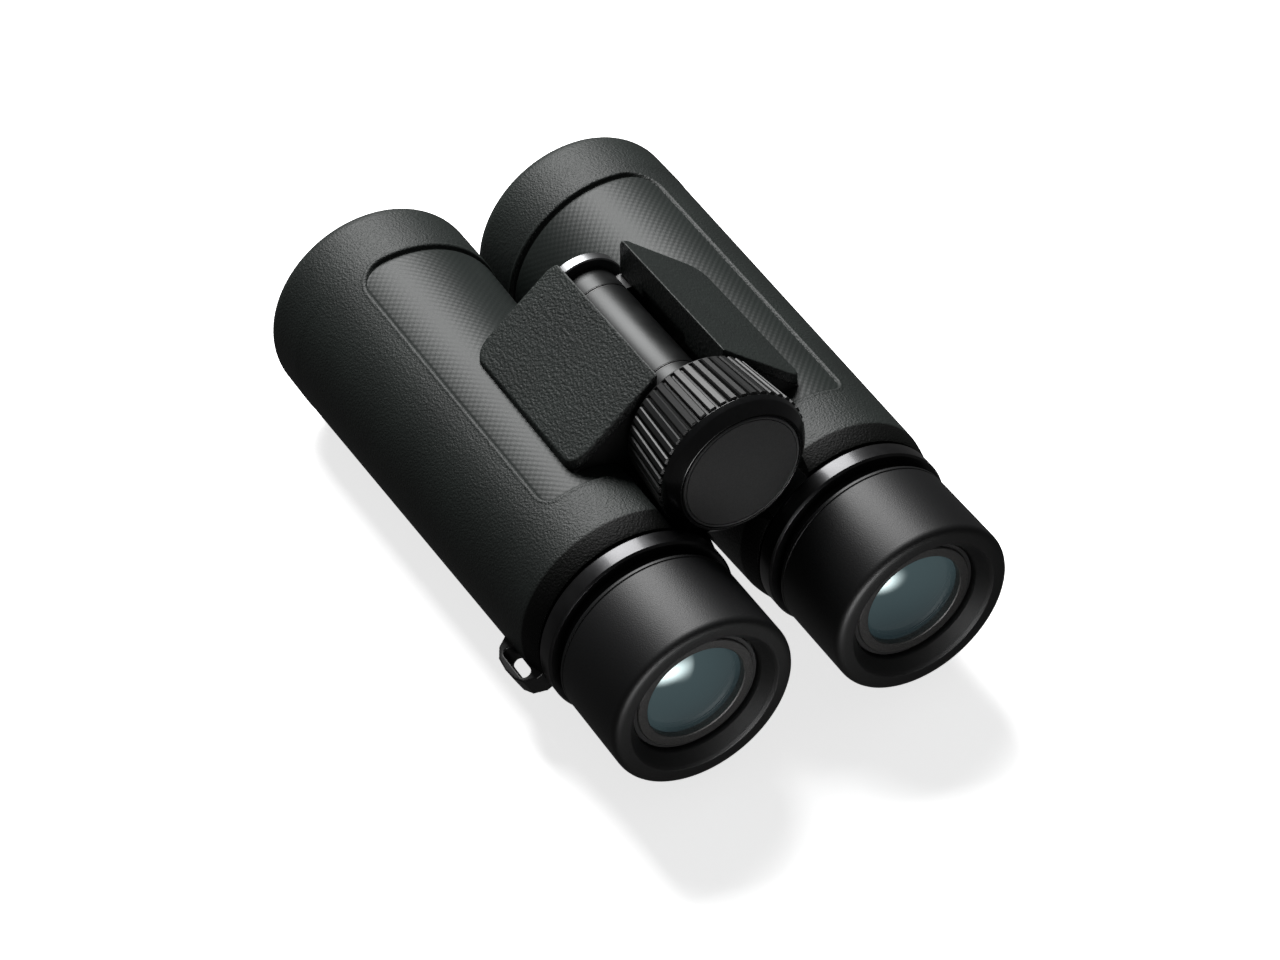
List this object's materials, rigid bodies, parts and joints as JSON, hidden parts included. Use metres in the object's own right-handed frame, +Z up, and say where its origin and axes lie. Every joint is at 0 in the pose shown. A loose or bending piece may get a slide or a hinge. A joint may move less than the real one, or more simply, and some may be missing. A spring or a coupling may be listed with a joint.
{
  "type": "binoculars",
  "caption": "Full-size roof-prism binoculars with rubber-armoured barrels, a central hinge, a ribbed focus wheel, twist-up eyecups and strap lugs.",
  "frame": {"origin": "centre of the base, on the plane that the two objective bumpers rest on, midway between the eyecup rims and the objective bumpers", "axes": "+X to the user's right, +Y from the eyepieces to the objectives, +Z up, with the focus wheel on top"},
  "size_m": [0.1146, 0.165, 0.0773],
  "materials": {
    "housing": "satin black casting",
    "armour": "fine leather-grain rubber, dark green-grey",
    "grip_panel": "rubber with a fine diamond grain",
    "wing_cover": "coarse-grained rubber",
    "black_aluminium": "black anodised",
    "objective_glass": "coated, faint violet reflection",
    "carrier": "turned",
    "inner_glass": "polished",
    "cage": "moulded",
    "prism_glass": "polished",
    "eyepiece_tube": "matt black",
    "eye_glass": "coated, blue-green reflection",
    "eye_ring": "grey, fine speckle",
    "click_ring": "moulded",
    "sleeve": "moulded",
    "eyecup_rubber": "soft matt black",
    "steel": "ground",
    "lug": "satin black",
    "trim_ring": "satin black with a bright bevel",
    "hinge_cap": "satin dark grey",
    "washers": "low-friction plastic, black",
    "brass": "turned",
    "wheel_core": "smooth black",
    "wheel_grip": "ribbed",
    "wheel_cap": "flat dark grey, fine texture"
  },
  "bodies": {
    "left_half": {"housing_left": "housing", "armour_left": "armour", "grip_panel_left": "grip_panel", "wing_cover_left": "wing_cover", "objective_cell_left": "black_aluminium", "objective_lens_left": "objective_glass", "objective_ring_left": "black_aluminium", "prism_cage_left": "cage", "prism_front_left": "prism_glass", "prism_roof_left": "prism_glass", "eyepiece_tube_left": "eyepiece_tube", "eye_lens_left": "eye_glass", "eye_ring_left": "eye_ring", "field_cell_left": "carrier", "field_lens_left": "inner_glass", "strap_lug_left": "lug", "trim_ring_left": "trim_ring", "hinge_axle": "steel", "hinge_cap": "hinge_cap", "hinge_nut": "steel", "hinge_washers": "washers", "spindle_bushing": "brass"},
    "right_half": {"housing_right": "housing", "armour_right": "armour", "grip_panel_right": "grip_panel", "wing_cover_right": "wing_cover", "objective_cell_right": "black_aluminium", "objective_lens_right": "objective_glass", "objective_ring_right": "black_aluminium", "prism_cage_right": "cage", "prism_front_right": "prism_glass", "prism_roof_right": "prism_glass", "eyepiece_tube_right": "eyepiece_tube", "eye_lens_right": "eye_glass", "eye_ring_right": "eye_ring", "strap_lug_right": "lug"},
    "focus_wheel": {"wheel_core": "wheel_core", "wheel_grip": "wheel_grip", "wheel_cap": "wheel_cap", "wheel_screw": "steel", "focus_spindle": "brass"},
    "focus_nut": {"focus_spool": "brass"},
    "left_carrier": {"focus_carrier_left": "carrier", "focus_lens_left": "inner_glass"},
    "right_carrier": {"focus_carrier_right": "carrier", "focus_lens_right": "inner_glass"},
    "left_click_ring": {"click_ring_left": "click_ring"},
    "left_eyecup": {"eyecup_sleeve_left": "sleeve", "eyecup_rubber_left": "eyecup_rubber", "eyecup_pins_left": "steel"},
    "right_click_ring": {"click_ring_right": "click_ring"},
    "right_eyecup": {"eyecup_sleeve_right": "sleeve", "eyecup_rubber_right": "eyecup_rubber", "eyecup_pins_right": "steel"},
    "dioptre_adjuster": {"dioptre_ring_right": "trim_ring", "dioptre_pin_right": "steel"},
    "dioptre_cell": {"field_cell_right": "carrier", "field_lens_right": "inner_glass"}
  },
  "joints": [
    {"name": "hinge_fold", "type": "hinge", "parent": "left_half", "child": "right_half", "pos_m": [0, 0, 0.05796], "axis": [0, -1, 0], "range_deg": [-2.5, 31]},
    {"name": "focus_turn", "type": "hinge", "parent": "left_half", "child": "focus_wheel", "pos_m": [0, -0.0385, 0.05796], "axis": [0, 1, 0], "range_deg": [-200, 200]},
    {"name": "focus_nut_slide", "type": "slide", "parent": "left_half", "child": "focus_nut", "axis": [0, 1, 0], "range_m": [-0.0029, 0.0029]},
    {"name": "left_lens_slide", "type": "slide", "parent": "left_half", "child": "left_carrier", "axis": [0, 1, 0], "range_m": [-0.0029, 0.0029]},
    {"name": "right_lens_slide", "type": "slide", "parent": "right_half", "child": "right_carrier", "axis": [0, 1, 0], "range_m": [-0.0029, 0.0029]},
    {"name": "left_eyecup_turn", "type": "hinge", "parent": "left_half", "child": "left_click_ring", "pos_m": [-0.029, -0.0705, 0.028], "axis": [0, 1, 0], "range_deg": [0, 75]},
    {"name": "left_eyecup_rise", "type": "slide", "parent": "left_click_ring", "child": "left_eyecup", "axis": [0, -1, 0], "range_m": [0, 0.009]},
    {"name": "right_eyecup_turn", "type": "hinge", "parent": "right_half", "child": "right_click_ring", "pos_m": [0.029, -0.0705, 0.028], "axis": [0, 1, 0], "range_deg": [0, 75]},
    {"name": "right_eyecup_rise", "type": "slide", "parent": "right_click_ring", "child": "right_eyecup", "axis": [0, -1, 0], "range_m": [0, 0.009]},
    {"name": "dioptre_turn", "type": "hinge", "parent": "right_half", "child": "dioptre_adjuster", "pos_m": [0.029, -0.0524, 0.028], "axis": [0, 1, 0], "range_deg": [-35, 35]},
    {"name": "dioptre_slide", "type": "slide", "parent": "right_half", "child": "dioptre_cell", "axis": [0, -1, 0], "range_m": [-0.0012, 0.0012]}
  ],
  "couplings": [
    {"joint": "focus_nut_slide", "follows": "focus_turn", "m_per_rad": 0.00083},
    {"joint": "left_lens_slide", "follows": "focus_turn", "m_per_rad": 0.00083},
    {"joint": "right_lens_slide", "follows": "focus_turn", "m_per_rad": 0.00083},
    {"joint": "left_eyecup_rise", "follows": "left_eyecup_turn", "m_per_rad": 0.006874},
    {"joint": "right_eyecup_rise", "follows": "right_eyecup_turn", "m_per_rad": 0.006874},
    {"joint": "dioptre_slide", "follows": "dioptre_turn", "m_per_rad": 0.001964}
  ]
}
